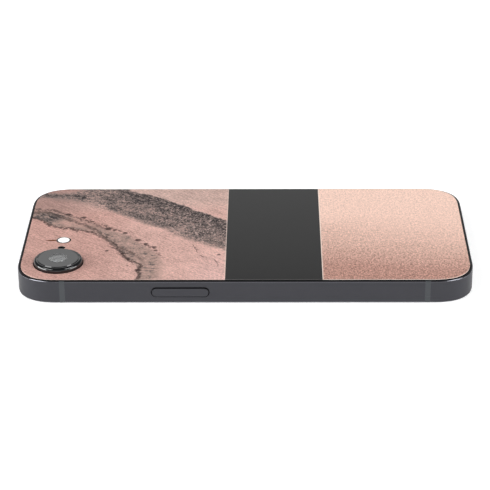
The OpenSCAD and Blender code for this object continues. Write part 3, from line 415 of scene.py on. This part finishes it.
def veins(s, x, y, band, below, above):
    """How dark the seams beside the thinner sweep, the veins and the cracks are."""
    inner = s.graph(x, INNER_VEIN)
    crack = s.graph(y, [(at_y, at_x) for at_x, at_y in CRACK])
    hair = s.graph(y, [(at_y, at_x) for at_x, at_y in HAIR_CRACK])
    blots = s.fade(s.noise(1.7, 4, 0.7, at=s.turned(-38, 1.5, 0.8)), 0.51, 0.57)
    fibres = s.fade(s.noise(1, 4, 0.7, at=s.along(s.x, 2.6, above, 0.5)), 0.58, 0.68)
    specks = s.fade(s.noise(0.9, 2, 0.6), 0.7, 0.76)
    jag = s.swing(s.noise(2.6, 4, 0.75), 6)
    ragged_above = s.add(above, jag)
    ragged_below = s.add(below, jag)
    low_seam = s.smear(s.mul(s.line_to(ragged_above, 0.1), 0.9), 1.0)
    top_seam = s.smear(s.line_to(ragged_below, 0.9), 0.9)
    second_seam = s.smear(s.line_to(ragged_below, 3.4), 0.8)
    inner_vein = s.smear(s.mul(s.line_to(y, inner), 0.75), 1.1)
    low_blots = s.mul(blots, s.fade(s.line_to(above, 1.4), 5.5, 1.6))
    top_blots = s.mul(blots, s.fade(s.line_to(below, -0.2), 2.4, 0.5))
    return s.most(
        s.mul(low_seam, s.fade(s.x, -44, -51, 0.4, 1)),
        s.mul(top_seam, s.fade(s.x, -42, -52, 0, 0.85)),
        s.mul(second_seam, s.fade(s.x, -50, -60, 0, 0.8)),
        s.mul(inner_vein, s.fade(s.x, -31, -36, 0, 0.8)),
        s.mul(s.smear(s.line_to(x, crack), 0.9), s.fade(s.y, -3, -8)),
        s.mul(s.seam(s.line_to(x, hair), 0.5, 1.6), s.gate(s.y, -25, -9)),
        s.mul(specks, 0.4),
        s.mul(low_blots, s.gate(s.x, -49, -36)),
        s.mul(top_blots, s.gate(s.x, -53, -27)),
        s.mul(s.mul(fibres, band), 0.6),
    )


def marble_film(name):
    """Rose marble print: one broad speckled dark sweep, a thinner veined one, cracks and dots."""
    s = Surface(name, BLACK, 0.5, Specular_IOR_Level=0.04)
    crumble = s.swing(s.noise(1.1, 4, 0.65), 1)
    drift_x = s.swing(s.noise(5, 3), 2.6)
    drift_y = s.swing(s.noise(5, 3, at=s.turned(90, 1, 1)), 2.6)
    x = s.total(s.x, drift_x, s.mul(crumble, 1.6))
    y = s.total(s.y, drift_y, s.mul(crumble, 1.8))
    pepper = s.noise(1.0, 3, 0.8)
    ground, shade, grit = marble_ground(s)
    base = broad_sweep(s, x, y, ground, shade, pepper)

    below = s.sub(s.graph(x, THIN_TOP), y)
    above = s.sub(y, s.graph(x, THIN_LOW))
    band = s.mul(s.fade(below, -0.6, 3.2), s.fade(above, -0.6, 1.2))
    worn_off = s.mul(s.fade(s.y, -15, -24), s.fade(s.x, -30, -24))
    band = s.mul(band, s.sub(1, worn_off))
    base = thin_sweep(s, base, band, above, pepper)
    shadow = veins(s, x, y, band, below, above)
    base = s.mix(s.mul(shadow, 0.85), base, tone(72, 60, 58))

    drops = s.most(*(s.fade(s.spot(at_x, at_y, r * 1.15, r), 1.15, 0.5) for at_x, at_y, r in DROPS))
    base = s.mix(s.mul(drops, 0.85), base, tone(62, 50, 50))
    dash_by_flash = s.fade(s.spot(-64, -6.2, 2.3, 0.55), 1.1, 0.6)
    base = s.mix(dash_by_flash, base, tone(108, 66, 44))
    # pale trimmed side, plus a painted highlight along the rim of the face and along the joint with the
    # grey film
    pale_cut_and_highlight = s.most(s.cut_edge_and_rim_highlight(), s.fade(s.x, MARBLE_END - 0.15, MARBLE_END, 0, 0.8))
    s.set("Base Color", s.mix(s.mul(pale_cut_and_highlight, 0.6), base, tone(240, 216, 205)))
    s.set("Roughness", s.add(0.45, s.mul(grit, 0.12)))
    s.bump(grit, 0.006, 0.4)
    return s.material


def foil_film(name):
    """Rose foil print with a fine broken weave, darker towards the side button and paler towards the far
    edge as a painted reflection.
    """
    s = Surface(name, BLACK, 0.45, Specular_IOR_Level=0.05)
    tide = s.noise(16, 2, at=s.turned(0, 3, 1))
    slope = s.add(s.y, s.mul(s.sub(s.x, 48), 0.14))
    # painted reflection: the colour runs from dark at the near edge, by the side button, to pale at the
    # far edge
    depth = s.add(s.fade_linear(slope, -FILM_EDGE, FILM_EDGE), s.swing(tide, 0.25))
    base = s.mix(s.fade(depth, 0.0, 0.74), tone(183, 141, 128), tone(244, 208, 192))
    base = s.mix(s.fade(depth, 0.55, 1.0), base, tone(248, 213, 197))
    weave = s.noise(0.8, 3, 0.7, at=s.turned(0, 0.8, 1.1))
    cross = s.noise(0.5, 2, 0.6, at=s.turned(90, 1.6, 0.6))
    grain = s.add(s.mul(weave, 0.6), s.mul(cross, 0.4))
    low = s.fade(depth, 0.7, 0.05, 0.4, 1)
    base = s.scaled(base, s.add(1, s.mul(s.swing(grain, 4.4), low)))
    # pale trimmed side, plus a painted highlight along the rim of the face and along the joint with the
    # grey film
    pale_cut_and_highlight = s.most(s.cut_edge_and_rim_highlight(), s.fade(s.x, FOIL_START + 0.15, FOIL_START, 0, 0.8))
    s.set("Base Color", s.mix(pale_cut_and_highlight, base, tone(250, 232, 220)))
    s.set("Roughness", s.add(0.34, s.mul(grain, 0.14)))
    s.bump(grain, 0.012, 0.5)
    return s.material


def plain_film(name):
    """Smooth dark grey film, lighter towards the far edge as a painted reflection; its sides are pale,
    with a painted highlight along the rim of its face.
    """
    s = Surface(name, BLACK, 0.55, Specular_IOR_Level=0.06)
    grain = s.noise(0.3, 2)
    # painted reflection: lighter from the near edge to the far edge
    shade = s.fade_linear(s.y, -FILM_EDGE, FILM_EDGE)
    base = s.mix(shade, tone(55, 55, 55), tone(71, 71, 71))
    base = s.scaled(base, s.total(0.97, s.mul(grain, 0.03), s.mul(s.noise(12, 2), 0.03)))
    # pale trimmed side, plus a painted highlight along the rim of the face
    s.set("Base Color", s.mix(s.mul(s.cut_edge_and_rim_highlight(), 0.35), base, tone(154, 152, 150)))
    s.set("Roughness", s.add(0.46, s.mul(grain, 0.08)))
    s.bump(grain, 0.003, 0.4)
    return s.material


def board_green(name):
    """Green solder mask with buried tracks and gold pads."""
    s = Surface(name, BLACK, 0.4, Coat_Weight=0.3)
    tracks = s.fade(s.cells(1.1, "DISTANCE_TO_EDGE"), 0.03, 0.06)
    mask = s.mix(tracks, tone(22, 74, 44), tone(14, 52, 32))
    pads = s.fade(s.cells(2.2), 0.14, 0.12)
    base = s.mix(pads, mask, tone(196, 160, 92))
    s.set("Base Color", s.scaled(base, s.add(0.9, s.mul(s.noise(3, 2), 0.2))))
    s.set("Metallic", s.mul(pads, 0.9))
    s.bump(s.add(tracks, pads), 0.01, 0.6)
    return s.material


def coil(name):
    """Flat copper winding, each turn a fine ridge, lighter along its crest as a painted highlight."""
    s = Surface(name, BLACK, 0.3, 1.0)
    turns = s.rings(0.55)
    # painted highlight: each turn lighter along its crest
    base = s.mix(turns, tone(166, 92, 58), tone(214, 138, 98))
    s.set("Base Color", s.scaled(base, s.add(0.85, s.mul(s.noise(4, 2), 0.3))))
    s.bump(turns, 0.02, 0.6)
    return s.material


def woven_mesh(name, color):
    """Fine woven wire mesh, darker between its wires as painted shade."""
    s = Surface(name, color, 0.5, 0.6)
    warp, weft, rise = (s.bands(axis, 2.2) for axis in "XYZ")
    wires = s.mul(s.most(warp, rise), s.most(weft, rise))
    # painted shade: the gaps between the wires are darkened
    s.set("Base Color", s.scaled(color, s.add(0.35, wires)))
    s.bump(wires, 0.03, 0.8)
    return s.material


def ribbed_lens(name):
    """Clear ribbed plastic, white against its diffuser, with a painted glow on its top, and black on its
    sides.
    """
    # painted glow: the top of the lens faintly emits light of its own, though it is no lamp
    s = Surface(name, tone(248, 248, 246), 0.18, Emission_Strength=0.25)
    face = s.fade(s.math("ABSOLUTE", s.upright()), 0.4, 0.8)
    s.set("Emission Color", s.mix(face, tone(0, 0, 0), tone(255, 255, 255)))
    rings = s.rings(0.4)
    white = s.scaled(tone(250, 250, 248), s.add(0.94, s.mul(rings, 0.06)))
    s.set("Base Color", s.mix(face, tone(18, 17, 18), white))
    s.bump(rings, 0.01, 0.4)
    return s.material


def lens_glass(name):
    """Coated optical glass, with a faint blue and green tint that grows towards grazing angles, a painted
    reflection of its coating.
    """
    s = Surface(name, BLACK, 0.05, IOR=1.8, Coat_Weight=1.0)
    # painted reflection: the colour turns bluer as the surface turns away from the view
    painted_coating_reflection = s.node("LayerWeight", Blend=0.35).outputs["Facing"]
    base = s.mix(painted_coating_reflection, tone(16, 26, 34), tone(34, 40, 62))
    s.set("Base Color", s.scaled(base, s.add(0.9, s.mul(s.noise(1.5, 2), 0.2))))
    s.bump(s.noise(4, 1), 0.001, 0.2)
    return s.material


def printed_wrap(name):
    """Satin black battery wrap with soft creases and small dimples."""
    s = Surface(name, BLACK, 0.45)
    creases = s.noise(5, 4, at=s.turned(8, 4, 1))
    dimples = s.fade(s.cells(2.4), 0.3, 0.0)
    shade = s.total(0.8, s.mul(creases, 0.3), s.mul(dimples, 0.1))
    s.set("Base Color", s.scaled(tone(36, 37, 39), shade))
    s.bump(s.add(creases, s.mul(dimples, 0.3)), 0.05, 0.6)
    return s.material


def make_materials():
    """One material for each of the record's slots."""
    anodised = tone(68, 68, 72)
    return {
        # its rounded edges are polished, and their colour is brightened there as a painted highlight
        "frame_metal": blasted_metal("frame_metal", anodised, 0.46, polish_and_glint=0.75),
        "antenna_plastic": moulded("antenna_plastic", tone(52, 55, 59), 0.5),
        "steel_plate": rolled_metal("steel_plate", tone(168, 170, 172), 0.36, 5),
        "display_glass": clear_glass("display_glass", tone(240, 243, 244), 0.03),
        "black_ink": moulded("black_ink", tone(8, 8, 9), 0.5, 0.5, 0.0002, Specular_IOR_Level=0.1),
        "panel_black": moulded("panel_black", tone(9, 10, 12), 0.5, 0.25, 0.0002, Specular_IOR_Level=0.1),
        "black_plastic": moulded("black_plastic", tone(30, 31, 32), 0.5),
        "gasket_foam": moulded("gasket_foam", tone(24, 24, 25), 0.85, 0.35, 0.03),
        "mesh_dark": woven_mesh("mesh_dark", tone(60, 60, 62)),
        "back_glass": moulded("back_glass", tone(14, 14, 15), 0.5, 0.3, 0.002, Specular_IOR_Level=0.15),
        "skin_marble": marble_film("skin_marble"),
        "skin_grey": plain_film("skin_grey"),
        "skin_foil": foil_film("skin_foil"),
        "ring_metal": blasted_metal(
            "ring_metal", tone(9, 10, 12), 0.08, grain=0.3, worn=0.2, depth=0.0004, metal=0.0,
            Specular_IOR_Level=0.7,
        ),
        "camera_glass": camera_window("camera_glass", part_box("camera_window")),
        "module_metal": rolled_metal("module_metal", tone(186, 186, 184), 0.3, 90),
        "barrel_plastic": moulded("barrel_plastic", tone(20, 20, 22), 0.4, 0.15),
        "lens_glass": lens_glass("lens_glass"),
        "board_green": board_green("board_green"),
        "flash_plastic": ribbed_lens("flash_plastic"),
        "flash_ceramic": moulded("flash_ceramic", tone(232, 226, 190), 0.5),
        "gold_metal": rolled_metal("gold_metal", tone(222, 184, 110), 0.28, 0),
        "infrared_black": moulded("infrared_black", tone(22, 16, 20), 0.15, 0.6, 0.002),
        "button_metal": blasted_metal("button_metal", anodised, 0.44),
        "seal_rubber": moulded("seal_rubber", tone(26, 26, 27), 0.75),
        "flex_film": rolled_metal("flex_film", tone(150, 96, 42), 0.4, 45),
        "chip_black": moulded("chip_black", tone(28, 28, 30), 0.55, 0.12),
        "battery_wrap": printed_wrap("battery_wrap"),
        "coil_copper": coil("coil_copper"),
        "ferrite_grey": moulded("ferrite_grey", tone(70, 70, 74), 0.6, 0.9, 0.01),
        "tungsten_mass": rolled_metal("tungsten_mass", tone(120, 120, 124), 0.42, 20),
        "cone_film": moulded("cone_film", tone(44, 44, 48), 0.35, 0.4),
        "port_steel": rolled_metal("port_steel", tone(150, 151, 154), 0.3, 0),
        "tongue_plastic": moulded("tongue_plastic", tone(22, 22, 23), 0.5),
        "screw_steel": rolled_metal("screw_steel", tone(128, 129, 132), 0.36, 30),
    }


# ---- Pieces ----

def refine(node):
    """Softens a CAD node's machined edges without touching its mesh."""
    same_place = 0.001 * MM
    same_plane = math.radians(0.3)
    edge_width = 0.05 * MM
    edge_angle = math.radians(28)

    weld = node.modifiers.new("weld", "WELD")
    weld.merge_threshold = same_place
    flat = node.modifiers.new("flat", "DECIMATE")
    flat.decimate_type = "DISSOLVE"
    flat.angle_limit = same_plane
    bevel = node.modifiers.new("bevel", "BEVEL")
    bevel.width = edge_width
    bevel.segments = 2
    bevel.limit_method = "ANGLE"
    bevel.angle_limit = edge_angle
    bevel.harden_normals = False
    normal = node.modifiers.new("normal", "WEIGHTED_NORMAL")
    normal.keep_sharp = True


def dress(nodes, record, materials):
    """Gives every CAD node the material of the record's slot that it was packed with."""
    slots = {part["node"]: part["material_slot"] for part in record["subparts"]}
    for name, node in nodes.items():
        node.data.materials.clear()
        node.data.materials.append(materials[slots[name]])


# ---- Stage ----

def aim(eye, pitch, yaw, roll):
    """A camera's matrix from its place and its angles in degrees: down, to the right and its roll."""
    pitch, yaw, roll = (math.radians(angle) for angle in (pitch, yaw, roll))
    ahead = Vector((math.sin(yaw) * math.cos(pitch), math.cos(yaw) * math.cos(pitch), -math.sin(pitch)))
    level = Vector((math.cos(yaw), -math.sin(yaw), 0))
    above = level.cross(ahead)
    right = math.cos(roll) * level + math.sin(roll) * above
    up = math.cos(roll) * above - math.sin(roll) * level
    matrix = Matrix((right, up, -ahead)).transposed().to_4x4()
    matrix.translation = eye
    return matrix


def make_camera():
    """The photograph's camera, solved from the outline of the back and the frame."""
    eye = Vector((7.94, -590.0, 290.2)) * MM
    data = bpy.data.cameras.new("camera")
    data.sensor_width = 36
    data.lens = 144.3
    data.clip_start = 0.01
    data.clip_end = 10
    camera = bpy.data.objects.new("camera", data)
    camera.matrix_world = aim(eye, pitch=25.94, yaw=-0.80, roll=-0.41)
    bpy.context.scene.collection.objects.link(camera)
    bpy.context.scene.camera = camera


def softbox(name, place, width, height, watts):
    """A rectangular light, aimed at the middle of the phone. Places and sizes are in metres."""
    data = bpy.data.lights.new(name, "AREA")
    data.shape = "RECTANGLE"
    data.size = width
    data.size_y = height
    data.energy = watts
    light = bpy.data.objects.new(name, data)
    light.location = place
    light.rotation_euler = (-Vector(place)).to_track_quat("-Z", "Y").to_euler()
    bpy.context.scene.collection.objects.link(light)


def make_world():
    """Pale at the horizon and dim overhead, so that the frame's shoulder stays dark."""
    world = bpy.data.worlds.new("studio")
    world.use_nodes = True
    tree = world.node_tree
    place = tree.nodes.new("ShaderNodeTexCoord")
    split = tree.nodes.new("ShaderNodeSeparateXYZ")
    height = tree.nodes.new("ShaderNodeMapRange")
    height.interpolation_type = "SMOOTHSTEP"
    dimming = {"From Min": 0.06, "From Max": 0.34, "To Min": 0.95, "To Max": 0.15}
    for socket, value in dimming.items():
        height.inputs[socket].default_value = value
    tree.links.new(place.outputs["Generated"], split.inputs[0])
    tree.links.new(split.outputs["Z"], height.inputs["Value"])
    tree.links.new(height.outputs["Result"], tree.nodes["Background"].inputs["Strength"])
    tree.nodes["Background"].inputs["Color"].default_value = (1, 1, 1, 1)
    bpy.context.scene.world = world


def make_floor():
    """White table just below the glass, clear from below and brighter further off."""
    half = 3.0
    depth = 0.05 * MM
    corners = [(-half, -half), (half, -half), (half, half), (-half, half)]
    mesh = bpy.data.meshes.new("floor")
    mesh.from_pydata([(x, y, -depth) for x, y in corners], [], [(0, 1, 2, 3)])
    floor = bpy.data.objects.new("floor", mesh)
    bpy.context.scene.collection.objects.link(floor)
    s = Surface("floor", (0.9, 0.9, 0.9, 1), 0.9, Specular_IOR_Level=0.0)
    s.set("Base Color", s.scaled((0.86, 0.86, 0.86), s.add(0.97, s.mul(s.noise(60, 2), 0.05))))
    s.set("Emission Color", (1, 1, 1, 1))
    away = s.node("VectorMath", operation="LENGTH", Vector=s.mm).outputs["Value"]
    s.set("Emission Strength", s.fade(away, 600, 1600, 0.5, 0.95))
    s.set("Alpha", s.sub(1, s.node("NewGeometry").outputs["Backfacing"]))
    floor.data.materials.append(s.material)


def make_stage():
    """Two lights overhead, two low ones for the frame's side, and a strip for the camera's glass."""
    bpy.context.scene.view_settings.view_transform = "Standard"
    make_world()
    make_floor()
    softbox("left", (-0.8, -0.43, 1.08), width=0.95, height=0.3, watts=7.2)
    softbox("right", (0.84, -0.34, 1.08), width=0.95, height=0.3, watts=7.2)
    softbox("low_left", (-1.2, -0.3, 0.24), width=1.1, height=0.5, watts=17)
    softbox("low_right", (1.2, -0.3, 0.24), width=0.9, height=0.5, watts=9.5)
    softbox("back_strip", (-0.15, 1.5, 0.78), width=0.7, height=0.16, watts=0.41)


# ---- Scene ----

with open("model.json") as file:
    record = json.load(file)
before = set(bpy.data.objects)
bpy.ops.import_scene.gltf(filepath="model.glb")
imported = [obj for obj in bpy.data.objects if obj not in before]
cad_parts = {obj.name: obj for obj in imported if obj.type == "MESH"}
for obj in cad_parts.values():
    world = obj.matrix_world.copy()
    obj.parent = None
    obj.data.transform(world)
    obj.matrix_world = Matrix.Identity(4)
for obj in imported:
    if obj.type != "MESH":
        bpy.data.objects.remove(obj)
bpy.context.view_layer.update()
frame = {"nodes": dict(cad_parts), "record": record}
make_camera()
make_stage()
materials = make_materials()
dress(frame["nodes"], frame["record"], materials)
refine(frame["nodes"]["frame_band"])
